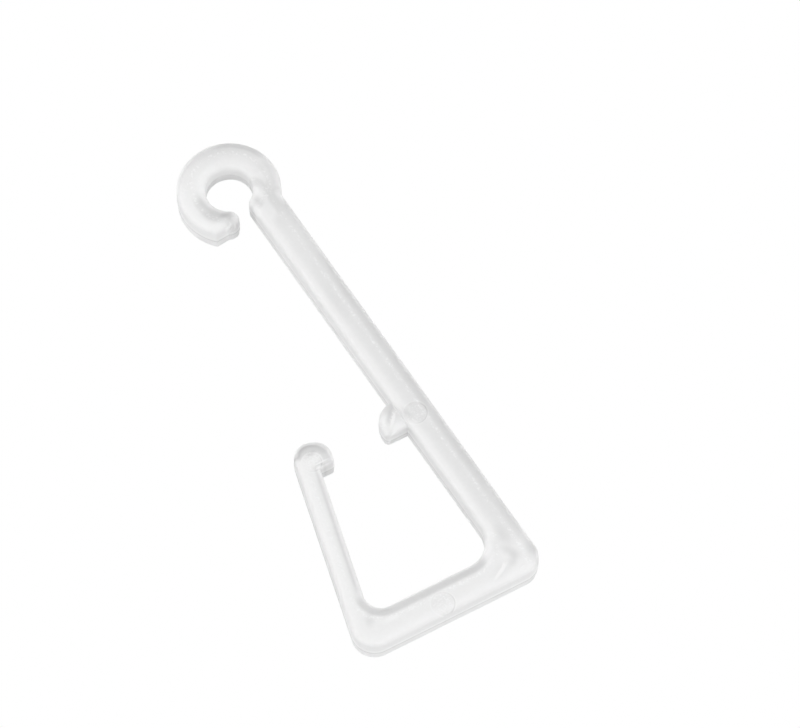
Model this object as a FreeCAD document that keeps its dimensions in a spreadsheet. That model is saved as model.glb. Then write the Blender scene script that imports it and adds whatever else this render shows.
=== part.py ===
"""Moulded curtain hook: snap-in eye, long shank, sloping seat and short arm, all in one piece.

The hook lies flat. X runs across it, Y runs up the shank towards the eye, and Z is its thickness.
The origin is the centre of the eye, on the parting plane halfway through the thickness.
"""
import FreeCAD
import Part
import Sketcher
import math
import os

# Driving dimensions, in millimetres and degrees
SIZES = {
    "thickness": 3.5,
    "draft_angle": 1.5,
    "face_round": 0.5,
    "shank_width": 3.62,
    "shank_offset": 2.62,
    "seat_depth": 50.45,
    "seat_slope": 5.4,
    "seat_width": 3.68,
    "seat_length": 14.78,
    "arm_lean": 15.5,
    "arm_width": 2.41,
    "arm_height": 17.0,
    "catch_depth": 1.66,
    "head_height": 2.52,
    "head_slope": 11.6,
    "heel_outer_round": 2.34,
    "heel_inner_round": 3.0,
    "toe_outer_round": 2.48,
    "toe_inner_round": 1.84,
    "head_outer_round": 1.8,
    "head_inner_round": 1.8,
    "catch_round": 0.4,
    "eye_radius": 5.64,
    "eye_hole_radius": 2.5,
    "eye_end_level": 3.96,
    "nose_radius": 1.1,
    "nose_across": 1.9,
    "shoulder_round": 0.85,
    "lug_level": 33.7,
    "lug_reach": 2.42,
    "lug_side": 1.75,
    "lug_height": 3.8,
    "lug_thickness": 2.8,
    "lug_tip_round": 0.73,
    "lug_side_round": 0.9,
    "lug_face_round": 0.6,
    "mark_depth": 0.06,
    "shank_mark_radius": 1.2,
    "shank_mark_shift": 0.35,
    "shank_mark_above_lug": 0.8,
    "seat_mark_radius": 1.2,
    "seat_mark_along": 7.7,
    "seat_mark_down": 2.45,
    "head_mark_radius": 1.0,
    "head_mark_above_catch": 0.8,
    "head_mark_out": 0.7,
}

# How near two points count as one
CLOSE = 1e-4

doc = FreeCAD.newDocument("curtain_hook")
sheet = doc.addObject("Spreadsheet::Sheet", "Sizes")
for row, (alias, value) in enumerate(SIZES.items(), 1):
    sheet.set(f"A{row}", alias)
    sheet.set(f"B{row}", str(value))
    sheet.setAlias(f"B{row}", alias)
doc.recompute()

body = doc.addObject("PartDesign::Body", "Hook")
body.Label = "hook"
parting_plane = next(part for part in body.Origin.OriginFeatures if part.Role == "XY_Plane")

# Elements that every sketch has: its origin and its X axis
CENTRE = (-1, 1)


def size(formula):
    """Value of a formula of the sheet's cells."""
    return float(sheet.evalExpression(formula))


def direction(degrees):
    """Unit vector in the parting plane."""
    return FreeCAD.Vector(math.cos(math.radians(degrees)), math.sin(math.radians(degrees)), 0)


def crossing(point_a, along_a, point_b, along_b):
    """Where two lines of the parting plane meet."""
    gap = point_b - point_a
    turn = along_a.x * along_b.y - along_a.y * along_b.x
    return point_a + along_a * ((gap.x * along_b.y - gap.y * along_b.x) / turn)


def below(across, radius):
    """Point of a circle about the eye's centre, below the X axis."""
    return FreeCAD.Vector(across, -math.sqrt(radius ** 2 - across ** 2), 0)


def new_sketch(name, level="0"):
    """Sketch on the parting plane, lifted to a level that a formula gives."""
    sketch = body.newObject("Sketcher::SketchObject", name)
    sketch.AttachmentSupport = [(parting_plane, "")]
    sketch.MapMode = "FlatFace"
    sketch.setExpression(".AttachmentOffset.Base.z", level)
    return sketch


def drive(sketch, name, formula, kind, *elements):
    """Add a dimension to a sketch and tie it to the sheet."""
    value = size(formula)
    if kind == "Angle":
        value = math.radians(value)
        formula = f"({formula}) * 1 deg"
    number = sketch.addConstraint(Sketcher.Constraint(kind, *elements, value))
    sketch.renameConstraint(number, name)
    sketch.setExpression(f"Constraints.{name}", formula)


def hold(sketch, kind, *elements):
    """Add a constraint that has no value."""
    sketch.addConstraint(Sketcher.Constraint(kind, *elements))


def add_chain(sketch, points, closed):
    """Straight edges joined end to end."""
    count = len(points) if closed else len(points) - 1
    for i in range(count):
        sketch.addGeometry(Part.LineSegment(points[i], points[(i + 1) % len(points)]), False)
    for i in range(count if closed else count - 1):
        hold(sketch, "Coincident", i, 2, (i + 1) % count, 1)


def add_arc(sketch, centre, start, end):
    """Arc drawn anticlockwise from start to end."""
    circle = Part.Circle(centre, FreeCAD.Vector(0, 0, 1), (start - centre).Length)
    first = math.atan2(start.y - centre.y, start.x - centre.x)
    last = math.atan2(end.y - centre.y, end.x - centre.x)
    if last < first:
        last += 2 * math.pi
    return sketch.addGeometry(Part.ArcOfCircle(circle, first, last), False)


def finish(feature):
    """Work a feature out and stop if it failed."""
    doc.recompute()
    if "Invalid" in feature.State or "Error" in feature.State or feature.Shape.isNull():
        raise RuntimeError(f"{feature.Name} failed: {feature.State}")
    return feature


def raise_pad(name, sketch, height):
    """Pad a profile up from the parting plane."""
    pad = body.newObject("PartDesign::Pad", name)
    pad.Profile = sketch
    pad.setExpression("Length", height)
    return finish(pad)


def round_edges(name, edges, radius):
    """Round the named edges of the body's last feature."""
    base = body.Tip
    fillet = body.newObject("PartDesign::Fillet", name)
    fillet.Base = (base, edges)
    fillet.setExpression("Radius", radius)
    return finish(fillet)


def upright_edge(shape, point):
    """Name of the edge that stands on a point of the parting plane."""
    for number, edge in enumerate(shape.Edges, 1):
        ends = [vertex.Point for vertex in edge.Vertexes]
        if len(ends) == 2 and all(math.hypot(e.x - point.x, e.y - point.y) < CLOSE for e in ends):
            return f"Edge{number}"
    raise ValueError(f"no edge stands on {point}")


def level_edges(shape, level):
    """Names and edges that lie flat at a level."""
    found = []
    for number, edge in enumerate(shape.Edges, 1):
        box = edge.BoundBox
        if abs(box.ZMin - level) < CLOSE and abs(box.ZMax - level) < CLOSE:
            found.append((f"Edge{number}", edge))
    return found


# Corners of the outline, from the shank's inner side round to its outer side
shank_left = size("Sizes.shank_offset - Sizes.shank_width / 2")
shank_right = size("Sizes.shank_offset + Sizes.shank_width / 2")
along_seat = direction(180 - size("Sizes.seat_slope"))
up_arm = direction(90 - size("Sizes.arm_lean"))
out_of_seat = direction(270 - size("Sizes.seat_slope"))
out_of_arm = direction(180 - size("Sizes.arm_lean"))

shoulder = below(shank_left, size("Sizes.eye_hole_radius"))
heel_inner = FreeCAD.Vector(shank_left, -size("Sizes.seat_depth"), 0)
toe_inner = heel_inner + along_seat * size("Sizes.seat_length")
catch_root = toe_inner + up_arm * size("Sizes.arm_height")
catch_tip = catch_root - along_seat * size("Sizes.catch_depth")
head_inner = catch_tip + up_arm * size("Sizes.head_height")
arm_back = toe_inner + out_of_arm * size("Sizes.arm_width")
seat_back = heel_inner + out_of_seat * size("Sizes.seat_width")
along_head = direction(180 - size("Sizes.arm_lean + Sizes.head_slope"))
head_outer = crossing(head_inner, along_head, arm_back, up_arm)
toe_outer = crossing(arm_back, up_arm, seat_back, along_seat)
neck = below(shank_right, size("Sizes.eye_radius"))
heel_outer = crossing(seat_back, along_seat, neck, direction(90))

# The eye's free end: a flat end face, then a nose that runs on smoothly into the hole
nose_distance = size("Sizes.eye_hole_radius + Sizes.nose_radius")
nose_centre = below(-size("Sizes.nose_across"), nose_distance)
nose_start = nose_centre * (size("Sizes.eye_hole_radius") / nose_distance)
end_level = size("Sizes.eye_end_level")
nose_rise = nose_centre.y + end_level
notch_across = nose_centre.x - math.sqrt(size("Sizes.nose_radius") ** 2 - nose_rise ** 2)
notch = FreeCAD.Vector(notch_across, -end_level, 0)
end_across = -math.sqrt(size("Sizes.eye_radius") ** 2 - end_level ** 2)
eye_end = FreeCAD.Vector(end_across, -end_level, 0)

# Outline of the whole hook
outline = new_sketch("Outline")
straight = [shoulder, heel_inner, toe_inner, catch_root, catch_tip, head_inner, head_outer,
            toe_outer, heel_outer, neck]
add_chain(outline, straight, closed=False)
(INNER_SIDE, SEAT, ARM, CATCH, HEAD_SIDE, HEAD_TOP, ARM_BACK, SEAT_BACK, OUTER_SIDE) = range(9)
origin = FreeCAD.Vector(0, 0, 0)
EYE = add_arc(outline, origin, neck, eye_end)
END_FACE = outline.addGeometry(Part.LineSegment(eye_end, notch), False)
NOSE = add_arc(outline, nose_centre, notch, nose_start)
HOLE = add_arc(outline, origin, shoulder, nose_start)

hold(outline, "Coincident", EYE, 3, *CENTRE)
hold(outline, "Coincident", HOLE, 3, *CENTRE)
hold(outline, "Coincident", OUTER_SIDE, 2, EYE, 1)
hold(outline, "Coincident", EYE, 2, END_FACE, 1)
hold(outline, "Coincident", END_FACE, 2, NOSE, 1)
hold(outline, "Tangent", NOSE, 2, HOLE, 2)
hold(outline, "Coincident", HOLE, 1, INNER_SIDE, 1)
hold(outline, "Vertical", INNER_SIDE)
hold(outline, "Vertical", OUTER_SIDE)
hold(outline, "Horizontal", END_FACE)
hold(outline, "Parallel", CATCH, SEAT)
hold(outline, "Parallel", SEAT_BACK, SEAT)
hold(outline, "Parallel", HEAD_SIDE, ARM)
hold(outline, "Parallel", ARM_BACK, ARM)
drive(outline, "seat_angle", "180 - Sizes.seat_slope", "Angle", SEAT)
drive(outline, "arm_angle", "90 - Sizes.arm_lean", "Angle", ARM)
drive(outline, "head_angle", "180 - Sizes.arm_lean - Sizes.head_slope", "Angle", HEAD_TOP)
drive(outline, "outer_side", "Sizes.shank_offset + Sizes.shank_width / 2",
      "DistanceX", *CENTRE, OUTER_SIDE, 1)
drive(outline, "shank_width", "Sizes.shank_width", "DistanceX", INNER_SIDE, 1, OUTER_SIDE, 2)
drive(outline, "seat_depth", "Sizes.seat_depth", "DistanceY", INNER_SIDE, 2, *CENTRE)
drive(outline, "seat_length", "Sizes.seat_length", "Distance", SEAT)
drive(outline, "seat_width", "Sizes.seat_width", "Distance", SEAT_BACK, 1, SEAT)
drive(outline, "arm_height", "Sizes.arm_height", "Distance", ARM)
drive(outline, "arm_width", "Sizes.arm_width", "Distance", ARM_BACK, 1, ARM)
drive(outline, "catch_depth", "Sizes.catch_depth", "Distance", CATCH)
drive(outline, "head_height", "Sizes.head_height", "Distance", HEAD_SIDE)
drive(outline, "eye_radius", "Sizes.eye_radius", "Radius", EYE)
drive(outline, "hole_radius", "Sizes.eye_hole_radius", "Radius", HOLE)
drive(outline, "nose_radius", "Sizes.nose_radius", "Radius", NOSE)
drive(outline, "nose_across", "Sizes.nose_across", "DistanceX", NOSE, 3, *CENTRE)
drive(outline, "end_level", "Sizes.eye_end_level", "DistanceY", END_FACE, 1, *CENTRE)

# Upper half of the moulding, up from the parting plane, with its corners rounded
raise_pad("UpperHalf", outline, "Sizes.thickness / 2")
CORNERS = [
    ("HeelOuter", heel_outer, "heel_outer_round"),
    ("HeelInner", heel_inner, "heel_inner_round"),
    ("ToeOuter", toe_outer, "toe_outer_round"),
    ("ToeInner", toe_inner, "toe_inner_round"),
    ("HeadOuter", head_outer, "head_outer_round"),
    ("HeadInner", head_inner, "head_inner_round"),
    ("CatchTip", catch_tip, "catch_round"),
    ("Shoulder", shoulder, "shoulder_round"),
]
for name, corner, radius in CORNERS:
    round_edges(name, [upright_edge(body.Tip.Shape, corner)], f"Sizes.{radius}")

# Thumb lug on the shank's inner side, thinner than the shank and rooted in its middle
lug = new_sketch("LugOutline")
lug_under = FreeCAD.Vector(shank_left, -size("Sizes.lug_level"), 0)
lug_root = lug_under - along_seat * (size("Sizes.shank_width") / 2 / -along_seat.x)
lug_tip = lug_under + along_seat * (size("Sizes.lug_reach") / -along_seat.x)
lug_side = lug_tip + FreeCAD.Vector(0, size("Sizes.lug_side"), 0)
lug_back = lug_under + FreeCAD.Vector(0, size("Sizes.lug_height"), 0)
lug_top = FreeCAD.Vector(lug_root.x, lug_back.y, 0)
add_chain(lug, [lug_root, lug_tip, lug_side, lug_back, lug_top], closed=True)
(LUG_UNDER, LUG_SIDE, LUG_BACK, LUG_TOP, LUG_ROOT) = range(5)
hold(lug, "Vertical", LUG_SIDE)
hold(lug, "Horizontal", LUG_TOP)
hold(lug, "Vertical", LUG_ROOT)
drive(lug, "under_angle", "180 - Sizes.seat_slope", "Angle", LUG_UNDER)
drive(lug, "root_across", "Sizes.shank_offset", "DistanceX", *CENTRE, LUG_UNDER, 1)
drive(lug, "root_level", "Sizes.lug_level + Sizes.shank_width / 2 * tan(Sizes.seat_slope * 1 deg)",
      "DistanceY", LUG_UNDER, 1, *CENTRE)
drive(lug, "reach", "Sizes.lug_reach + Sizes.shank_width / 2", "DistanceX", LUG_UNDER, 2, LUG_UNDER, 1)
drive(lug, "side", "Sizes.lug_side", "Distance", LUG_SIDE)
drive(lug, "back_across", "Sizes.shank_width / 2", "DistanceX", LUG_BACK, 2, LUG_TOP, 2)
drive(lug, "back_level", "Sizes.lug_level - Sizes.lug_height", "DistanceY", LUG_BACK, 2, *CENTRE)
raise_pad("LugPad", lug, "Sizes.lug_thickness / 2")
round_edges("LugTip", [upright_edge(body.Tip.Shape, lug_tip)], "Sizes.lug_tip_round")
round_edges("LugSide", [upright_edge(body.Tip.Shape, lug_side)], "Sizes.lug_side_round")

# Draft: the outer walls of the shank, seat, arm and head lean in from the parting plane, so that
# the halves leave the mould. It runs on along tangent walls, so three of them bring in the rest.
# The eye's walls and the inner walls stay straight, because the bar and the tape bear on them.
walls = []
for start, end in ((neck, heel_outer), (heel_outer, toe_outer), (arm_back, head_outer)):
    middle = Part.Vertex((start + end) / 2)
    for number, face in enumerate(body.Tip.Shape.Faces, 1):
        if face.BoundBox.ZLength > CLOSE and face.distToShape(middle)[0] < CLOSE:
            walls.append(f"Face{number}")
if len(walls) != 3:
    raise RuntimeError(f"{len(walls)} walls found to lean in, not 3")
base = body.Tip
draft = body.newObject("PartDesign::Draft", "Draft")
draft.Base = (base, walls)
draft.NeutralPlane = (parting_plane, [""])
draft.setExpression("Angle", "Sizes.draft_angle")
finish(draft)
if draft.Shape.Volume >= base.Shape.Volume:
    raise RuntimeError("the walls lean out instead of in")

# Rounded rims of the faces, the lug's first because it ends in the shank's wall
lug_rim = [name for name, edge in level_edges(body.Tip.Shape, size("Sizes.lug_thickness / 2"))
           if edge.BoundBox.Center.x < shank_left - CLOSE]
round_edges("LugRim", lug_rim, "Sizes.lug_face_round")
face_rim = [name for name, edge in level_edges(body.Tip.Shape, size("Sizes.thickness / 2"))]
round_edges("FaceRim", face_rim, "Sizes.face_round")

mirror = body.newObject("PartDesign::Mirrored", "LowerHalf")
mirror.TransformMode = "Whole shape"
mirror.MirrorPlane = (parting_plane, [""])
body.Tip = mirror
finish(mirror)

# Shallow round marks of the ejector pins in the upper face: one each on the shank, the seat and
# the head. A place is given along the seat or up the arm, and then away from the part's inside.
SEAT_ACROSS = "cos(Sizes.seat_slope * 1 deg)"
SEAT_RISE = "sin(Sizes.seat_slope * 1 deg)"
ARM_ACROSS = "sin(Sizes.arm_lean * 1 deg)"
ARM_RISE = "cos(Sizes.arm_lean * 1 deg)"
HEEL_ACROSS = "Sizes.shank_offset - Sizes.shank_width / 2"
TOE_ACROSS = f"{HEEL_ACROSS} - Sizes.seat_length * {SEAT_ACROSS}"
TOE_LEVEL = f"Sizes.seat_length * {SEAT_RISE} - Sizes.seat_depth"
UP_ARM = "(Sizes.arm_height + Sizes.head_mark_above_catch)"
MARKS = [
    ("ShankMark", "shank_mark_radius",
     "Sizes.shank_offset - Sizes.shank_mark_shift",
     "Sizes.shank_mark_above_lug - Sizes.lug_level"),
    ("SeatMark", "seat_mark_radius",
     f"{HEEL_ACROSS} - Sizes.seat_mark_along * {SEAT_ACROSS} - Sizes.seat_mark_down * {SEAT_RISE}",
     f"Sizes.seat_mark_along * {SEAT_RISE} - Sizes.seat_mark_down * {SEAT_ACROSS} - Sizes.seat_depth"),
    ("HeadMark", "head_mark_radius",
     f"{TOE_ACROSS} + {UP_ARM} * {ARM_ACROSS} - Sizes.head_mark_out * {ARM_RISE}",
     f"{TOE_LEVEL} + {UP_ARM} * {ARM_RISE} + Sizes.head_mark_out * {ARM_ACROSS}"),
]
for name, radius, across, along in MARKS:
    mark = new_sketch(f"{name}Outline", "Sizes.thickness / 2 - Sizes.mark_depth")
    centre = FreeCAD.Vector(size(across), size(along), 0)
    circle = Part.Circle(centre, FreeCAD.Vector(0, 0, 1), size(f"Sizes.{radius}"))
    pin = mark.addGeometry(circle, False)
    drive(mark, "across", across, "DistanceX", *CENTRE, pin, 3)
    drive(mark, "along", along, "DistanceY", *CENTRE, pin, 3)
    drive(mark, "radius", f"Sizes.{radius}", "Radius", pin)
    before = body.Tip.Shape.Volume
    pocket = body.newObject("PartDesign::Pocket", name)
    pocket.Profile = mark
    pocket.Reversed = True
    pocket.setExpression("Length", "2 * Sizes.mark_depth")
    finish(pocket)
    if pocket.Shape.Volume > before - CLOSE:
        raise RuntimeError(f"{name} removes nothing")

doc.recompute()
for item in doc.Objects:
    if "Invalid" in item.State or "Error" in item.State:
        raise RuntimeError(f"{item.Name} failed: {item.State}")
if body.Shape.isNull() or not body.Shape.isValid():
    raise RuntimeError("the hook's shape is not valid")
box = body.Shape.BoundBox
print(f"hook: {box.XLength:.2f} x {box.YLength:.2f} x {box.ZLength:.2f} mm, {body.Shape.Volume:.1f} mm3,"
      f" {len(body.Shape.Solids)} solid, {len(body.Shape.Faces)} faces")
os.makedirs("parts", exist_ok=True)
body.Shape.exportStep(f"parts/{body.Label}.step")
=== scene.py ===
# %% [markdown]
# # Clear moulded curtain hook
# The hook is lofted from its outline, one section all the way round, then given its thumb lug and
# its ejector marks. The plastic, the white floor and the light follow. All sizes are in
# millimetres until `MM` turns them into metres.

# %%
import math

import bmesh
import bpy
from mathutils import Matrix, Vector, kdtree
from mathutils.geometry import delaunay_2d_cdt


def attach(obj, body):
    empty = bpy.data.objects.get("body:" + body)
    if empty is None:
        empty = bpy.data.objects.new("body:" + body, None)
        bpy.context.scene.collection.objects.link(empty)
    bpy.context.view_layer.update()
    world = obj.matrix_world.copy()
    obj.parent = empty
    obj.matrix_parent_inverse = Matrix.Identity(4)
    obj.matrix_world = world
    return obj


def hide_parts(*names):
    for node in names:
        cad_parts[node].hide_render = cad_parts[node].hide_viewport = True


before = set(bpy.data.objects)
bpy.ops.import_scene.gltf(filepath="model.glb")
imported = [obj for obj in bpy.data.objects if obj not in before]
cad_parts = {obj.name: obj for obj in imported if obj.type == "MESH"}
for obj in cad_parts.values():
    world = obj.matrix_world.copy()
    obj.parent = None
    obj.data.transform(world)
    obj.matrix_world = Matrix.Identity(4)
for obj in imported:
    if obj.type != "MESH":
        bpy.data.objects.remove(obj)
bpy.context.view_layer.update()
MM = 0.001

# %% [markdown]
# ## Outline
# The outline runs anticlockwise, with the plastic on its left. A line or an arc knows where it
# goes when the outline is drawn in by some distance, and a joint is either smooth or a corner.

# %%
HALF = 1.75
DRAFT = math.tan(math.radians(1.5))
SHANK_LEFT, SHANK_RIGHT = 0.81, 4.43
EYE, HOLE, END_LEVEL = 5.64, 2.5, -3.96
SEAT_SLOPE, ARM_LEAN, HEAD_SLOPE = 5.4, 15.5, 11.6


def heading(degrees):
    """Unit vector of a direction in the plane."""
    return Vector((math.cos(math.radians(degrees)), math.sin(math.radians(degrees))))


def crossing(point_a, along_a, point_b, along_b):
    """Where two lines meet."""
    gap = point_b - point_a
    turn = along_a.x * along_b.y - along_a.y * along_b.x
    return point_a + along_a * ((gap.x * along_b.y - gap.y * along_b.x) / turn)


class Line:
    """Straight run from start to end."""

    def __init__(self, start, end):
        self.start, self.end = start, end
        self.along = (end - start).normalized()
        self.out = Vector((self.along.y, -self.along.x))

    def normal(self, point):
        return self.out

    def at(self, first, last, share):
        return first.lerp(last, share)

    def length(self):
        return (self.end - self.start).length


class Arc:
    """Arc about a centre; side is 1 where the plastic is inside it and -1 where it is outside."""

    def __init__(self, centre, radius, start, end, side):
        self.centre, self.radius, self.start, self.end, self.side = centre, radius, start, end, side
        first, last = self.angle(start), self.angle(end)
        self.turn = (last - first) % math.tau if side > 0 else -((first - last) % math.tau)

    def angle(self, point):
        return math.atan2(point.y - self.centre.y, point.x - self.centre.x)

    def normal(self, point):
        return (point - self.centre).normalized() * self.side

    def at(self, first, last, share):
        begin, finish = self.angle(first), self.angle(last)
        turn = (finish - begin) % math.tau if self.side > 0 else -((begin - finish) % math.tau)
        if abs(turn) > abs(self.turn) + 1.5:
            return first.lerp(last, share)
        reach = (first - self.centre).length * (1 - share) + (last - self.centre).length * share
        angle = begin + turn * share
        return self.centre + Vector((math.cos(angle), math.sin(angle))) * reach

    def length(self):
        return self.radius * abs(self.turn)


def meet(one, two, near, inset):
    """Where two neighbours meet once both are drawn in by a distance."""
    lines = [(p.start - p.out * inset, p.along) if isinstance(p, Line) else None for p in (one, two)]
    if all(lines):
        return crossing(*lines[0], *lines[1])
    line, arc = (lines[0], two) if lines[0] else (lines[1], one)
    radius = arc.radius - arc.side * inset
    start, along = line
    foot = start + along * (arc.centre - start).dot(along)
    reach = math.sqrt(max(radius ** 2 - (foot - arc.centre).length ** 2, 0))
    return min((foot + along * reach, foot - along * reach), key=lambda p: (p - near).length)


def rounded(points, radii):
    """Closed outline of lines with each corner rounded by its radius; 0 keeps the corner."""
    count, cut = len(points), []
    for i, (point, radius) in enumerate(zip(points, radii)):
        into = (point - points[i - 1]).normalized()
        away = (points[(i + 1) % count] - point).normalized()
        cross = into.x * away.y - into.y * away.x
        side = 1 if cross > 0 else -1
        reach = radius * math.tan(abs(into.angle(away)) / 2)
        first, last = point - into * reach, point + away * reach
        centre = first - Vector((into.y, -into.x)) * radius * side
        cut.append((first, last, Arc(centre, radius, first, last, side) if radius else None))
    parts = []
    for i in range(count):
        if cut[i][2]:
            parts.append(cut[i][2])
        parts.append(Line(cut[i][1], cut[(i + 1) % count][0]))
    return parts


# %%
along_seat, out_of_seat = heading(180 - SEAT_SLOPE), heading(270 - SEAT_SLOPE)
up_arm, out_of_arm = heading(90 - ARM_LEAN), heading(180 - ARM_LEAN)
heel_inner = Vector((SHANK_LEFT, -50.45))
toe_inner = heel_inner + along_seat * 14.78
catch_root = toe_inner + up_arm * 17.0
catch_tip = catch_root - along_seat * 1.66
head_inner = catch_tip + up_arm * 2.52
seat_back = heel_inner + out_of_seat * 3.68
arm_back = toe_inner + out_of_arm * 2.41
head_outer = crossing(head_inner, heading(180 - ARM_LEAN - HEAD_SLOPE), arm_back, up_arm)
toe_outer = crossing(arm_back, up_arm, seat_back, along_seat)
neck = Vector((SHANK_RIGHT, -math.sqrt(EYE ** 2 - SHANK_RIGHT ** 2)))
heel_outer = crossing(seat_back, along_seat, neck, heading(90))
origin = Vector((0, 0))

SHOULDER = 0.85
shoulder_x = SHANK_LEFT + SHOULDER
shoulder_centre = Vector((shoulder_x, -math.sqrt((HOLE + SHOULDER) ** 2 - shoulder_x ** 2)))
shoulder_start = shoulder_centre * (HOLE / shoulder_centre.length)
shoulder_end = Vector((SHANK_LEFT, shoulder_centre.y))

NOSE, NOSE_ACROSS = 1.1, -1.9
nose_centre = Vector((NOSE_ACROSS, -math.sqrt((HOLE + NOSE) ** 2 - NOSE_ACROSS ** 2)))
nose_end = nose_centre * (HOLE / nose_centre.length)
notch = Vector((NOSE_ACROSS - math.sqrt(NOSE ** 2 - (END_LEVEL - nose_centre.y) ** 2), END_LEVEL))
eye_end = Vector((-math.sqrt(EYE ** 2 - END_LEVEL ** 2), END_LEVEL))

corners = [shoulder_end, heel_inner, toe_inner, catch_root, catch_tip, head_inner, head_outer,
           toe_outer, heel_outer, neck]
runs = rounded(corners, [0, 3.0, 1.84, 0.12, 0.4, 1.8, 1.8, 2.48, 2.34, 0])[:-1]
runs += [Arc(origin, EYE, neck, eye_end, 1), Line(eye_end, notch),
         Arc(nose_centre, NOSE, notch, nose_end, 1), Arc(origin, HOLE, nose_end, shoulder_start, -1),
         Arc(shoulder_centre, SHOULDER, shoulder_start, shoulder_end, 1)]

# %% [markdown]
# ## Loft
# One half of the section is a leaning wall and a rounded rim, as distances inwards and heights.
# The rim is wider in the eye's hole. The part's other half is its mirror image.

# %%
SHANK_RIM, HOLE_RIM = 0.5, 0.72
RIM_STEPS = 9
FINE = 0.22


def rim_at(point, run):
    """Width of the rounded rim, wider round the eye's hole and over the nose."""
    if point.y < -12:
        return SHANK_RIM
    if isinstance(run, Arc) and (run.side < 0 or run.radius < EYE) and point.y > -5:
        return HOLE_RIM
    if isinstance(run, Arc) and run.radius == EYE:
        return 0.56
    return SHANK_RIM


def section(rim, half, draft):
    """Distances inwards and heights of the section's upper half, up from the parting plane."""
    wall = half - rim
    rows = [(0, 0), (0.045 * draft, 0.045), (wall * draft, wall)]
    for i in range(1, RIM_STEPS + 1):
        angle = math.pi / 2 * i / RIM_STEPS
        rows.append((wall * draft + rim * (1 - math.cos(angle)), wall + rim * math.sin(angle)))
    return rows + [(rows[-1][0] + 0.1, half)]


def cap(build, ring, height, step=0.34):
    """Close a flat face with small triangles, so that values on its points can vary across it."""
    edge = [Vector((v.co.x, v.co.y)) / MM for v in ring]
    tree = kdtree.KDTree(len(edge))
    for i, point in enumerate(edge):
        tree.insert((point.x, point.y, 0), i)
    tree.balance()
    low = Vector((min(p.x for p in edge), min(p.y for p in edge)))
    high = Vector((max(p.x for p in edge), max(p.y for p in edge)))
    inside = []
    for row in range(int((high.y - low.y) / step) + 1):
        for column in range(int((high.x - low.x) / step) + 1):
            point = low + Vector((column + 0.5 * (row % 2), row)) * step
            if tree.find((point.x, point.y, 0))[2] > 0.45 * step:
                inside.append(point)
    points, _, faces, came, _, _ = delaunay_2d_cdt(edge + inside, [], [list(range(len(edge)))], 1, 1e-6)
    verts = []
    for point, source in zip(points, came):
        old = [i for i in source if i < len(edge)]
        verts.append(ring[old[0]] if old else build.verts.new((point.x * MM, point.y * MM, height * MM)))
    for face in faces:
        build.faces.new([verts[i] for i in face])


def loft(name, parts, half, rim_of, draft):
    """Closed mesh with the same section all the way round an outline, mirrored in the plane."""
    joints = []
    for one, two in zip(parts, parts[1:] + parts[:1]):
        smooth = one.normal(one.end).dot(two.normal(two.start)) > 0.9999
        joints.append((one, two, one.end, smooth))

    def joint(index, inset):
        one, two, point, smooth = joints[index]
        for arc, before, after in ((two, index, index + 2), (one, index - 1, index + 1)):
            if isinstance(arc, Arc) and arc.side > 0 and arc.radius <= inset:
                outer = parts[before % len(parts)], parts[after % len(parts)]
                return meet(*outer, point, inset)
        return point - one.normal(point) * inset if smooth else meet(one, two, point, inset)

    rings = []
    for row in range(len(section(1, half, draft))):
        ring = []
        for i, run in enumerate(parts):
            ends = []
            for j in (i - 1, i):
                rim = (rim_of(joints[j][2], joints[j][0]) + rim_of(joints[j][2], joints[j][1])) / 2
                inset, height = section(rim, half, draft)[row]
                ends.append((joint(j, inset), height, inset))
            steps = max(2, math.ceil(run.length() / FINE))
            if isinstance(run, Arc):
                steps = max(steps, math.ceil(abs(run.turn) / 0.07))
            for k in range(steps):
                share = k / steps
                place = run.at(ends[0][0], ends[1][0], share)
                height = ends[0][1] * (1 - share) + ends[1][1] * share
                ring.append((place.x, place.y, height))
        rings.append(ring)

    mesh = bpy.data.meshes.new(name)
    build = bmesh.new()
    seam = build.verts.layers.float.new("seam")
    layers = []
    for flip in (-1, 1):
        for row, ring in enumerate(rings):
            if flip > 0 and row == 0:
                continue
            layer = [build.verts.new((x * MM, y * MM, flip * z * MM)) for x, y, z in ring]
            layers.append((flip * row, layer))
    layers.sort(key=lambda item: item[0])
    for vertex in dict(layers)[0]:
        vertex[seam] = 1.0
    stack = [layer for _, layer in layers]
    count = len(stack[0])
    for low, high in zip(stack, stack[1:]):
        for k in range(count):
            build.faces.new((low[k], low[(k + 1) % count], high[(k + 1) % count], high[k]))
    bmesh.ops.remove_doubles(build, verts=build.verts, dist=0.0005 * MM)
    for ring, height in ((stack[-1], half), (stack[0], -half)):
        cap(build, [v for v in ring if v.is_valid], height)
    bmesh.ops.recalc_face_normals(build, faces=build.faces)
    build.to_mesh(mesh)
    build.free()
    piece = bpy.data.objects.new(name, mesh)
    bpy.context.scene.collection.objects.link(piece)
    return piece


hook = loft("curtain_hook", runs, HALF, rim_at, DRAFT)

# %% [markdown]
# ## Thumb lug
# The lug's back is a quarter round, so the thumb slides over it, and its foot is flat and a little
# sloped. Tangents to the round make a polygon, and wide corner radii turn it back into the round.

# %%
LUG_CENTRE, LUG_RADIUS, LUG_HALF = Vector((0.87, -32.7)), 2.58, 1.4
foot = Vector((SHANK_LEFT, -33.7))
foot_way = heading(-SEAT_SLOPE)
tangent = heading(280)
lug_points = [foot + foot_way * 1.8, Vector((foot.x + 1.8, LUG_CENTRE.y + LUG_RADIUS)),
              LUG_CENTRE + heading(115) * (LUG_RADIUS / math.cos(math.radians(25))),
              LUG_CENTRE + heading(165) * (LUG_RADIUS / math.cos(math.radians(25))),
              crossing(LUG_CENTRE + heading(190) * LUG_RADIUS, tangent, foot, foot_way)]
lug_runs = rounded(lug_points, [0, 0, 2.3, 2.3, 0.55])


def lug_rim(point, run):
    """Width of the lug's rim: a full round on its back, a small one at its foot."""
    return 0.95 if point.y > -32.6 else 0.5


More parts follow.
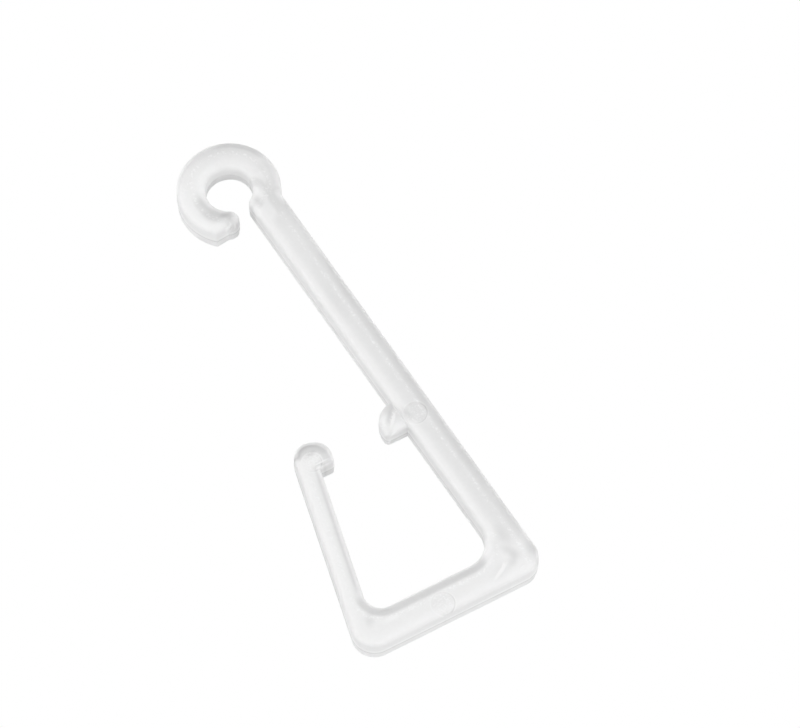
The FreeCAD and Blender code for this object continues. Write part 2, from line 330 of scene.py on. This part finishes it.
lug = loft("lug", lug_runs, LUG_HALF, lug_rim, DRAFT)

# %% [markdown]
# ## Seam, lug and ejector marks
# Geometry Nodes push the parting line out by a thin uneven ridge, which is the seam of the two
# mould halves.


# %%
def seam_ridge(height, scale, seed):
    """Geometry nodes that push the seam's points outwards by a noise-driven height."""
    group = bpy.data.node_groups.new("seam_ridge", "GeometryNodeTree")
    face = group.interface
    face.new_socket("Geometry", in_out="INPUT", socket_type="NodeSocketGeometry")
    for name, value in (("Ridge Height", height), ("Noise Scale", scale), ("Seed", seed)):
        face.new_socket(name, in_out="INPUT", socket_type="NodeSocketFloat").default_value = value
    face.new_socket("Geometry", in_out="OUTPUT", socket_type="NodeSocketGeometry")
    nodes, link = group.nodes, group.links.new
    given, out = nodes.new("NodeGroupInput"), nodes.new("NodeGroupOutput")
    named = nodes.new("GeometryNodeInputNamedAttribute")
    named.data_type = "FLOAT"
    named.inputs["Name"].default_value = "seam"
    noise = nodes.new("ShaderNodeTexNoise")
    noise.noise_dimensions = "4D"
    noise.inputs["Detail"].default_value = 0
    amount, normal = nodes.new("ShaderNodeMath"), nodes.new("GeometryNodeInputNormal")
    amount.operation = "MULTIPLY"
    scaled, moved = nodes.new("ShaderNodeMath"), nodes.new("ShaderNodeVectorMath")
    scaled.operation, moved.operation = "MULTIPLY", "SCALE"
    place = nodes.new("GeometryNodeSetPosition")
    link(given.outputs["Noise Scale"], noise.inputs["Scale"])
    link(given.outputs["Seed"], noise.inputs["W"])
    link(noise.outputs["Fac"], amount.inputs[0])
    link(given.outputs["Ridge Height"], amount.inputs[1])
    link(amount.outputs[0], scaled.inputs[0])
    link(named.outputs["Attribute"], scaled.inputs[1])
    link(normal.outputs["Normal"], moved.inputs[0])
    link(scaled.outputs[0], moved.inputs["Scale"])
    link(given.outputs["Geometry"], place.inputs["Geometry"])
    link(moved.outputs[0], place.inputs["Offset"])
    link(place.outputs["Geometry"], out.inputs["Geometry"])
    return group


def settle(piece):
    """Replace a piece's mesh by what its modifiers make of it."""
    graph = bpy.context.evaluated_depsgraph_get()
    mesh = bpy.data.meshes.new_from_object(piece.evaluated_get(graph))
    piece.modifiers.clear()
    piece.data = mesh


ridge = seam_ridge(0.016 * MM, 160.0, 3.0)
for piece in (hook, lug):
    piece.modifiers.new("seam", "NODES").node_group = ridge
    settle(piece)

MARKS = [(2.27, -32.90, 1.2), (-7.07, -52.2, 1.2), (-9.80, -31.74, 1.0)]
pins = bpy.data.meshes.new("pins")
build = bmesh.new()
for x, y, radius in MARKS:
    made = bmesh.ops.create_cone(build, cap_ends=True, segments=72, radius1=radius * MM,
                                 radius2=radius * MM, depth=0.5 * MM)
    bmesh.ops.translate(build, verts=made["verts"], vec=Vector((x, y, HALF - 0.06 + 0.25)) * MM)
build.to_mesh(pins)
build.free()
pins = bpy.data.objects.new("pins", pins)
bpy.context.scene.collection.objects.link(pins)
for tool, operation in ((lug, "UNION"), (pins, "DIFFERENCE")):
    change = hook.modifiers.new(operation, "BOOLEAN")
    change.object, change.operation, change.solver = tool, operation, "EXACT"
settle(hook)
for tool in (lug, pins):
    bpy.data.objects.remove(tool)
hook.data.polygons.foreach_set("use_smooth", [True] * len(hook.data.polygons))
hook.data.set_sharp_from_angle(angle=math.radians(32))
hook.modifiers.new("normals", "WEIGHTED_NORMAL").keep_sharp = True
settle(hook)

# %% [markdown]
# ## How far each point is from the edges
# The plastic gathers light along one side of each bar and loses it along the other, because its
# rounded rims turn the light like a lens. That light and shade is painted into the colour, and the
# painting needs to know where those sides are. So each point of the mesh carries two distances in
# millimetres: from the edges that face away from the light, and from the edges that face it.

# %%
LIGHT_SIDE = Vector((-0.55, -0.83)).normalized()
LUG_TOP = 1.45


def edge_trees(parts, step=0.1):
    """Search trees of the outline's points that face away from the light and towards it."""
    shaded, lit = [], []
    for run in parts:
        steps = max(2, math.ceil(run.length() / step))
        for k in range(steps):
            point = run.at(run.start, run.end, (k + 0.5) / steps)
            facing = run.normal(point).dot(LIGHT_SIDE)
            if abs(facing) > 0.12:
                (lit if facing > 0 else shaded).append((point, abs(facing)))
    trees = []
    for side in (shaded, lit):
        tree = kdtree.KDTree(len(side))
        for i, (point, _) in enumerate(side):
            tree.insert((point.x, point.y, 0), i)
        tree.balance()
        trees.append((tree, [full for _, full in side]))
    return trees


def mark_edges(piece, own, added):
    """Write each point's distances from the shaded and the lit edges as attributes."""
    values = {name: [] for name in ("shaded", "lit", "facing")}
    for vertex in piece.data.vertices:
        place = vertex.co / MM
        on_lug = -3 < place.x < SHANK_LEFT - 0.02 and -36 < place.y < -29.5 and abs(place.z) < LUG_TOP
        trees = added if on_lug else own
        (tree, full), (lit_tree, _) = trees
        _, index, far = tree.find((place.x, place.y, 0))
        values["shaded"].append(far)
        values["facing"].append(full[index])
        values["lit"].append(lit_tree.find((place.x, place.y, 0))[2])
    for name, numbers in values.items():
        piece.data.attributes.new(name, "FLOAT", "POINT").data.foreach_set("value", numbers)
    print(len(values["lit"]), "points, deepest", round(max(values["shaded"]), 2), "mm from a shaded edge")


mark_edges(hook, edge_trees(runs), edge_trees(lug_runs))

# %% [markdown]
# ## Plastic
# The hook is a clear polymer with a slight milk in it. Principled transmission with a wide
# roughness gives that: light goes through, but nothing is seen sharply behind it. What changes over
# the surface is light and shade painted into the base colour, with a faint mottle, and small node
# groups put that together.

# %%
def new_group(name, takes, gives):
    """Shader group with named inputs (a number, or None for a vector) and number outputs."""
    group = bpy.data.node_groups.new(name, "ShaderNodeTree")
    for label, value in takes:
        kind = "NodeSocketVector" if value is None else "NodeSocketFloat"
        socket = group.interface.new_socket(label, in_out="INPUT", socket_type=kind)
        if value is not None:
            socket.default_value = value
    for label in gives:
        group.interface.new_socket(label, in_out="OUTPUT", socket_type="NodeSocketFloat")
    return group, group.nodes.new("NodeGroupInput").outputs, group.nodes.new("NodeGroupOutput").inputs


def maths(tree, operation, first, second=0.0):
    """Maths node of two sockets or numbers; gives its output socket."""
    node = tree.nodes.new("ShaderNodeMath")
    node.operation = operation
    for socket, value in zip(node.inputs, (first, second)):
        if isinstance(value, (int, float)):
            socket.default_value = value
        else:
            tree.links.new(value, socket)
    return node.outputs[0]


def times(tree, *values):
    """Product of sockets or numbers."""
    total = values[0]
    for value in values[1:]:
        total = maths(tree, "MULTIPLY", total, value)
    return total


def plus(tree, *values):
    """Sum of sockets or numbers."""
    total = values[0]
    for value in values[1:]:
        total = maths(tree, "ADD", total, value)
    return total


def rest_of(tree, value):
    """One less the value."""
    return maths(tree, "SUBTRACT", 1.0, value)


def curve(tree, value, stops, span=2.5):
    """Smooth curve through (place in mm, height) stops."""
    node = tree.nodes.new("ShaderNodeValToRGB")
    node.color_ramp.interpolation = "B_SPLINE"
    points = node.color_ramp.elements
    while len(points) < len(stops):
        points.new(0.5)
    for point, (place, height) in zip(points, stops):
        point.position, point.color = place / span, (height, height, height, 1)
    tree.links.new(maths(tree, "DIVIDE", value, span), node.inputs[0])
    return node.outputs[0]


def smooth(tree, value, low, high):
    """0 at low and 1 at high, with a smooth step between them."""
    node = tree.nodes.new("ShaderNodeMapRange")
    node.interpolation_type = "SMOOTHSTEP"
    tree.links.new(value, node.inputs["Value"])
    node.inputs["From Min"].default_value, node.inputs["From Max"].default_value = low, high
    return node.outputs[0]


def band(tree, value, low, high, soft):
    """1 between low and high, falling to 0 over a soft width on both sides."""
    return times(tree, smooth(tree, value, low - soft, low), rest_of(tree, smooth(tree, value, high, high + soft)))


def split(tree, vector, to_mm=True):
    """X, Y and Z sockets of a vector, in millimetres."""
    node = tree.nodes.new("ShaderNodeSeparateXYZ")
    tree.links.new(vector, node.inputs[0])
    return [times(tree, node.outputs[axis], 1000.0) for axis in "XYZ"]


def noise(tree, vector, scale, detail, seed):
    """Noise of about 0 to 1 on a vector in metres."""
    node = tree.nodes.new("ShaderNodeTexNoise")
    node.noise_dimensions = "4D"
    tree.links.new(vector, node.inputs["Vector"])
    for label, value in (("Scale", scale), ("Detail", detail), ("W", seed)):
        node.inputs[label].default_value = value
    return node.outputs["Fac"]


# %% [markdown]
# ### Painted light bands
# Light and shade are painted into the colour in bands. Each bar is painted darkest a little inside
# its shaded edge, where the far rim turns the light away. A painted light line follows, then a slow
# painted rise to the lit edge, and the walls get a little painted shade. The thin arm has a narrower
# painted dark band, and the eye's wide rims do most of it by themselves.

# %%
bands, given, out = new_group(
    "light_bands", (("Shaded", 0.0), ("Lit", 0.0), ("Facing", 1.0), ("Place", None)), ("Painted Light And Mottle",))
x, y, z = split(bands, given["Place"])
# Painted shade: a dark band a little inside each shaded edge, and a narrower one on the thin arm.
painted_dark_band = curve(bands, given["Shaded"], [
    (0.0, 0.0), (0.2, 0.0), (0.4, 0.04), (0.62, 0.08), (0.85, 0.08), (1.05, 0.06), (1.28, 0.0),
    (1.45, 0.0), (1.7, 0.01), (2.0, 0.01)])
thin = curve(bands, given["Shaded"], [
    (0.0, 0.03), (0.2, 0.0), (0.38, 0.04), (0.55, 0.17), (0.7, 0.09), (0.85, 0.03), (1.2, 0.0),
    (1.6, 0.0), (2.0, 0.0)])
on_arm = times(bands, rest_of(bands, smooth(bands, x, -9.5, -7.5)), smooth(bands, y, -48.0, -45.0))
fade = maths(bands, "MAXIMUM", smooth(bands, given["Facing"], 0.05, 0.6), on_arm)
heel = times(bands, smooth(bands, x, 1.0, 3.0), rest_of(bands, smooth(bands, y, -50.0, -41.0)))
neck = times(bands, smooth(bands, x, 1.0, 3.0), smooth(bands, y, -18.0, -9.0))
fade = times(bands, fade, rest_of(bands, times(bands, heel, 0.8)), rest_of(bands, times(bands, neck, 0.7)))
reach = maths(bands, "SQRT", plus(bands, times(bands, x, x), times(bands, y, y)))
in_eye = rest_of(bands, smooth(bands, reach, 5.6, 6.6))
outside = times(bands, in_eye, smooth(bands, reach, 3.8, 4.4))
inside = times(bands, in_eye, rest_of(bands, smooth(bands, reach, 3.0, 3.6)))
painted_dark_band = times(bands, plus(bands, times(bands, thin, on_arm), times(bands, painted_dark_band, rest_of(bands, on_arm))),
            fade, rest_of(bands, times(bands, outside, 1.0)))
hole_side = times(bands, in_eye, rest_of(bands, times(bands, smooth(bands, y, 0.0, 1.5), 0.85)),
                  band(bands, given["Shaded"], 0.9, 1.4, 0.5), 0.10)

# Painted shade along the lit rims, on the eye's upper right, on the arm's walls and beside the seat's shaded edge.
brim = curve(bands, given["Lit"], [
    (0.0, 0.06), (0.08, 0.065), (0.16, 0.07), (0.28, 0.03), (0.4, 0.0), (0.6, 0.0)])
upper_right = times(bands, outside, smooth(bands, x, 0.5, 2.5), smooth(bands, y, 0.5, 2.5),
                    band(bands, given["Shaded"], 0.25, 0.6, 0.3), 0.10)
on_wall = times(bands, on_arm, rest_of(bands, smooth(bands, given["Lit"], 0.0, 0.12)), 0.07)
brim = times(bands, brim, rest_of(bands, times(bands, inside, 0.8)))
seat_side = times(bands, band(bands, given["Shaded"], 0.4, 0.85, 0.3), fade, 0.07,
                  rest_of(bands, smooth(bands, y, -48.0, -45.0)))
# Painted shade rising away from the lit edge, so each bar lightens slowly towards it, and a little more painted shade
# on the eye.
slope = curve(bands, given["Lit"], [
    (0.0, 0.0), (0.5, 0.0), (0.8, 0.02), (1.1, 0.06), (1.6, 0.09), (2.3, 0.09)])
on_shank = times(bands, smooth(bands, x, -3.5, 1.5), smooth(bands, y, -52.0, -48.5))
right = times(bands, in_eye, smooth(bands, x, -1.5, 2.5))
slope = times(bands, slope, rest_of(bands, times(bands, right, 0.6)), plus(bands, times(bands, on_shank, 0.7), 0.55))
on_eye = times(bands, smooth(bands, x, -1.5, 2.5), smooth(bands, y, -8.0, -3.0),
               smooth(bands, given["Lit"], 0.2, 0.5), 0.05)

# Painted shade on the walls, with a painted dark line along the seam and painted light just above it.
wall = rest_of(bands, smooth(bands, maths(bands, "MINIMUM", given["Shaded"], given["Lit"]), 0.09, 0.15))
line = rest_of(bands, smooth(bands, maths(bands, "ABSOLUTE", plus(bands, z, 0.12)), 0.04, 0.12))
above = band(bands, z, 0.15, 0.4, 0.12)
line = times(bands, wall, plus(bands, times(bands, line, 0.12), times(bands, above, -0.04)),
             rest_of(bands, times(bands, inside, 0.6)))
upper = smooth(bands, z, -0.3, 0.0)
lower = times(bands, wall, upper, rest_of(bands, inside), 0.035)

# All of this is painted light and shade taken off the base colour; a negative term is painted light.
painted_light_and_shade = plus(bands, upper_right, on_wall, painted_dark_band, hole_side, seat_side, brim, slope, on_eye, line, lower)
bands.links.new(times(bands, painted_light_and_shade, smooth(bands, z, -1.35, -1.2)), out["Painted Light And Mottle"])

# %% [markdown]
# ### Painted light patches
# A few places get painted highlights and painted shade of their own: at the corners where two bars
# meet, by the lug, on the head, along the shank and round the eye. Each is one ellipse with soft edges.

# %%
patch, given, out = new_group("soft_patch", (
    ("Place", None), ("Centre X", 0.0), ("Centre Y", 0.0), ("Turn", 0.0), ("Half Length", 1.0),
    ("Half Width", 1.0)), ("Mask",))
x, y, z = split(patch, given["Place"])
x = maths(patch, "SUBTRACT", x, given["Centre X"])
y = maths(patch, "SUBTRACT", y, given["Centre Y"])
cosine, sine = maths(patch, "COSINE", given["Turn"]), maths(patch, "SINE", given["Turn"])
along = maths(patch, "DIVIDE", plus(patch, times(patch, x, cosine), times(patch, y, sine)), given["Half Length"])
across = maths(patch, "DIVIDE", maths(patch, "SUBTRACT", times(patch, y, cosine), times(patch, x, sine)),
               given["Half Width"])
far = maths(patch, "SQRT", plus(patch, times(patch, along, along), times(patch, across, across)))
patch.links.new(times(patch, rest_of(patch, smooth(patch, far, 0.0, 1.0)), smooth(patch, z, 0.9, 1.2)),
                out["Mask"])

# centre x and y, turn in degrees, half length and half width in mm, and painted light lost (less is brighter)
PAINTED_LIGHT_PATCHES = [(1.9, -51.3, 120, 1.7, 0.8, 0.10), (-0.2, -52.5, 23, 2.0, 1.1, 0.05), (-0.2, -52.5, 23, 1.6, 0.3, -0.16),
           (0.3, -52.2, 50, 0.7, 0.2, -0.12), (1.9, -53.4, 20, 0.8, 0.5, 0.03), (1.9, -53.4, 20, 0.5, 0.25, -0.12),
           (-12.3, -49.6, -16, 1.3, 0.3, 0.05), (-12.4, -50.7, -8, 1.3, 0.45, -0.05), (-2.0, -54.1, 5, 1.0, 0.2, -0.12),
           (-0.3, -31.7, 42, 1.4, 0.4, 0.10), (-0.5, -32.3, 42, 1.5, 0.9, 0.03), (-0.1, -32.2, 42, 1.2, 0.25, -0.16),
           (-1.1, -33.2, 20, 0.7, 0.3, 0.08), (-0.9, -33.45, 10, 0.7, 0.15, -0.12),
           (-1.9, -2.5, -8, 1.3, 0.5, 0.10), (-2.4, -3.7, 10, 1.4, 0.8, 0.06), (-2.5, -3.85, 10, 0.7, 0.2, -0.16),
           (-1.8, -4.1, 60, 0.4, 0.15, -0.12), (-8.9, -32.5, -5, 1.6, 0.9, 0.09), (-8.9, -32.2, -5, 1.2, 0.14, -0.18),
           (-8.8, -32.65, -5, 1.1, 0.14, -0.18),
           (2.4, -2.4, 75, 1.5, 0.9, -0.16), (0.9, -3.8, 60, 1.3, 0.9, -0.16), (-3.6, -1.9, 120, 1.8, 0.8, 0.10),
           (1.4, -32.4, 100, 1.6, 0.7, 0.14), (-0.3, -50.3, 45, 1.6, 0.8, -0.18), (1.5, -52.2, 40, 1.3, 0.8, 0.09),
           (4.0, -52.4, 60, 2.2, 1.3, 0.12), (2.2, -49.3, 90, 2.0, 0.9, 0.06), (-9.5, -32.5, 0, 0.7, 0.5, -0.10),
           (-9.5, -30.8, 0, 1.1, 0.4, 0.10), (-14.3, -49.6, 60, 1.3, 0.8, 0.08), (2.2, -17.5, 90, 5.0, 1.0, 0.03),
           (4.4, -0.5, 80, 3.0, 1.0, -0.08)]

# %% [markdown]
# ### Ejector marks
# The pins that pushed the hook out of its mould leave shallow discs with a crisp edge and a
# frosted floor. The edge is in the mesh, and is also painted as a dark line, darker towards one side,
# with a painted light ring just outside it. The frost is rougher, and speckled.

# %%
frost_and_painted_edge, given, out = new_group("pin_mark", (
    ("Place", None), ("Centre X", 0.0), ("Centre Y", 0.0), ("Radius", 1.0)), ("Frost", "Painted Light And Mottle"))
x, y, z = split(frost_and_painted_edge, given["Place"])
x = maths(frost_and_painted_edge, "SUBTRACT", x, given["Centre X"])
y = maths(frost_and_painted_edge, "SUBTRACT", y, given["Centre Y"])
far = maths(frost_and_painted_edge, "SUBTRACT", maths(frost_and_painted_edge, "SQRT", plus(frost_and_painted_edge, times(frost_and_painted_edge, x, x), times(frost_and_painted_edge, y, y))), given["Radius"])
top = smooth(frost_and_painted_edge, z, 1.2, 1.5)
disc = times(frost_and_painted_edge, rest_of(frost_and_painted_edge, smooth(frost_and_painted_edge, far, -0.25, 0.0)), top)
toward = smooth(frost_and_painted_edge, maths(frost_and_painted_edge, "SUBTRACT", times(frost_and_painted_edge, x, 0.6), times(frost_and_painted_edge, y, 0.8)), -0.2, 1.1)
# Painted shade on the edge, strongest towards one side, and painted light in a ring just outside it.
edge = times(frost_and_painted_edge, band(frost_and_painted_edge, far, -0.05, 0.02, 0.05), top, plus(frost_and_painted_edge, times(frost_and_painted_edge, toward, 0.95), 0.05))
rim = times(frost_and_painted_edge, band(frost_and_painted_edge, far, 0.1, 0.16, 0.06), top)
speck = smooth(frost_and_painted_edge, noise(frost_and_painted_edge, given["Place"], 5200.0, 1.0, 4.0), 0.45, 0.75)
frost_and_painted_edge.links.new(disc, out["Frost"])
frost_and_painted_edge.links.new(plus(frost_and_painted_edge, times(frost_and_painted_edge, edge, 0.08), times(frost_and_painted_edge, rim, -0.03), times(frost_and_painted_edge, disc, 0.02),
                     times(frost_and_painted_edge, disc, speck, -0.07)), out["Painted Light And Mottle"])

# %% [markdown]
# ### Grain and a painted light line
# A faint mottle runs through the plastic, and the skin is very slightly uneven where it shrank.
# A speckled painted light line runs about 1.3 mm inside each shaded edge.

# %%
mottle_and_painted_speck, given, out = new_group("mottle_and_painted_speck", (("Place", None), ("Shaded", 1.0)), ("Painted Light And Mottle", "Height"))
mottle = maths(mottle_and_painted_speck, "SUBTRACT", noise(mottle_and_painted_speck, given["Place"], 2600.0, 2.0, 1.0), 0.5)
# Painted light: speckles in a line about 1.3 mm inside the shaded edges.
speck = smooth(mottle_and_painted_speck, noise(mottle_and_painted_speck, given["Place"], 4200.0, 1.0, 7.0), 0.5, 0.72)
speck = times(mottle_and_painted_speck, speck, band(mottle_and_painted_speck, given["Shaded"], 1.25, 1.5, 0.2))
mottle_and_painted_speck.links.new(plus(mottle_and_painted_speck, times(mottle_and_painted_speck, mottle, 0.05), times(mottle_and_painted_speck, speck, -0.09)), out["Painted Light And Mottle"])
mottle_and_painted_speck.links.new(noise(mottle_and_painted_speck, given["Place"], 700.0, 2.0, 2.0), out["Height"])


# %% [markdown]
# ### The material

# %%
plastic = bpy.data.materials.new("clear_plastic")
plastic.use_nodes = True
tree = plastic.node_tree
shader = tree.nodes["Principled BSDF"]
shader.inputs["IOR"].default_value = 1.4
shader.inputs["Transmission Weight"].default_value = 0.4
BASE_ROUGHNESS = 0.5
place = tree.nodes.new("ShaderNodeTexCoord").outputs["Object"]


def placed(group, **values):
    """A group in the material's tree, with its number inputs set and its place linked."""
    node = tree.nodes.new("ShaderNodeGroup")
    node.node_tree = group
    tree.links.new(place, node.inputs["Place"])
    for label, value in values.items():
        node.inputs[label.replace("_", " ")].default_value = value
    return node


def attribute(name):
    """Socket of a number that the mesh carries."""
    node = tree.nodes.new("ShaderNodeAttribute")
    node.attribute_name = name
    return node.outputs["Fac"]


lines, mottle_and_painted_speck_node = placed(bands), placed(mottle_and_painted_speck)
for node, label in ((lines, "Shaded"), (lines, "Lit"), (lines, "Facing"), (mottle_and_painted_speck_node, "Shaded")):
    tree.links.new(attribute(label.lower()), node.inputs[label])
painted_light_and_mottle = [lines.outputs["Painted Light And Mottle"], mottle_and_painted_speck_node.outputs["Painted Light And Mottle"]]
for cx, cy, turn, half_length, half_width, amount in PAINTED_LIGHT_PATCHES:
    node = placed(patch, Centre_X=cx, Centre_Y=cy, Turn=math.radians(turn), Half_Length=half_length,
                  Half_Width=half_width)
    painted_light_and_mottle.append(times(tree, node.outputs["Mask"], amount))
roughness = BASE_ROUGHNESS
for cx, cy, radius in MARKS:
    node = placed(frost_and_painted_edge, Centre_X=cx, Centre_Y=cy, Radius=radius)
    painted_light_and_mottle.append(node.outputs["Painted Light And Mottle"])
    roughness = plus(tree, times(tree, node.outputs["Frost"], 0.2), roughness)

# %% [markdown]
# Painted shade: the head's round end turns the light on all its shaded side, so a painted dark band
# follows the round.

# %%
HEAD = Vector((-9.80, -31.74))
x, y, z = split(tree, place)
x, y = maths(tree, "SUBTRACT", x, HEAD.x), maths(tree, "SUBTRACT", y, HEAD.y)
far = maths(tree, "SQRT", plus(tree, times(tree, x, x), times(tree, y, y)))
away = maths(tree, "DIVIDE", plus(tree, times(tree, x, -LIGHT_SIDE.x), times(tree, y, -LIGHT_SIDE.y)), far)
painted_light_and_mottle.append(times(tree, band(tree, far, 1.3, 1.85, 0.25), smooth(tree, away, 0.0, 0.35),
                    smooth(tree, z, 0.9, 1.2), 0.11))

# The base colour is what is left of white after the painted light and shade and the mottle.
level = maths(tree, "POWER", maths(tree, "MAXIMUM", rest_of(tree, plus(tree, *painted_light_and_mottle)), 0.3), 1.4)
tree.links.new(maths(tree, "MINIMUM", level, 1.0), shader.inputs["Base Color"])
tree.links.new(roughness, shader.inputs["Roughness"])
bump = tree.nodes.new("ShaderNodeBump")
bump.inputs["Strength"].default_value, bump.inputs["Distance"].default_value = 0.25, 0.02 * MM
tree.links.new(mottle_and_painted_speck_node.outputs["Height"], bump.inputs["Height"])
tree.links.new(bump.outputs["Normal"], shader.inputs["Normal"])

hook.data.materials.clear()
hook.data.materials.append(plastic)
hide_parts("hook")
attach(hook, "root")

# %% [markdown]
# ## Floor, light and camera

# %%
bpy.ops.mesh.primitive_plane_add(size=4, location=(0, 0, -1.77 * MM))
floor = bpy.context.object
floor.name = "floor"
paper = bpy.data.materials.new("paper")
paper.use_nodes = True
nodes, link = paper.node_tree.nodes, paper.node_tree.links.new
nodes.clear()
glow, white, ray, pick, sheet = (nodes.new(kind) for kind in (
    "ShaderNodeEmission", "ShaderNodeBsdfDiffuse", "ShaderNodeLightPath", "ShaderNodeMixShader",
    "ShaderNodeOutputMaterial"))
glow.inputs["Color"].default_value = (1, 1, 1, 1)
white.inputs["Color"].default_value = (0.9, 0.9, 0.9, 1)
seen = ray.outputs["Is Camera Ray"]
for other in ("Is Glossy Ray", "Is Transmission Ray"):
    either = nodes.new("ShaderNodeMath")
    either.operation = "MAXIMUM"
    link(seen, either.inputs[0])
    link(ray.outputs[other], either.inputs[1])
    seen = either.outputs[0]
link(seen, pick.inputs[0])
link(white.outputs[0], pick.inputs[1])
link(glow.outputs[0], pick.inputs[2])
link(pick.outputs[0], sheet.inputs[0])
floor.data.materials.append(paper)

world = bpy.data.worlds.new("studio")
bpy.context.scene.world = world
world.use_nodes = True
nodes, link = world.node_tree.nodes, world.node_tree.links.new
place, split, ramp = (nodes.new(kind) for kind in (
    "ShaderNodeTexCoord", "ShaderNodeSeparateXYZ", "ShaderNodeValToRGB"))
link(place.outputs["Generated"], split.inputs[0])
link(split.outputs["Z"], ramp.inputs[0])
link(ramp.outputs[0], nodes["Background"].inputs[0])
ramp.color_ramp.elements[0].position, ramp.color_ramp.elements[0].color = 0.0, (1.5, 1.5, 1.5, 1)
ramp.color_ramp.elements[1].position, ramp.color_ramp.elements[1].color = 1.0, (0.85, 0.85, 0.85, 1)

turn, elevation, distance = math.radians(33.27), math.radians(65.47), 414.2 * MM
target = Vector((4.40, -26.68, 0)) * MM
look = Vector((math.sin(turn) * math.cos(elevation), math.cos(turn) * math.cos(elevation),
               -math.sin(elevation)))
camera = bpy.data.objects.new("camera", bpy.data.cameras.new("camera"))
bpy.context.scene.collection.objects.link(camera)
camera.location = target - look * distance
camera.rotation_euler = look.to_track_quat("-Z", "Y").to_euler()
camera.data.sensor_width, camera.data.clip_start = 36, 0.01
camera.data.lens = 36 * 414.2 / (800 / 9.5)
bpy.context.scene.camera = camera
bpy.context.scene.view_settings.view_transform = "Standard"

# %%
bpy.context.view_layer.update()
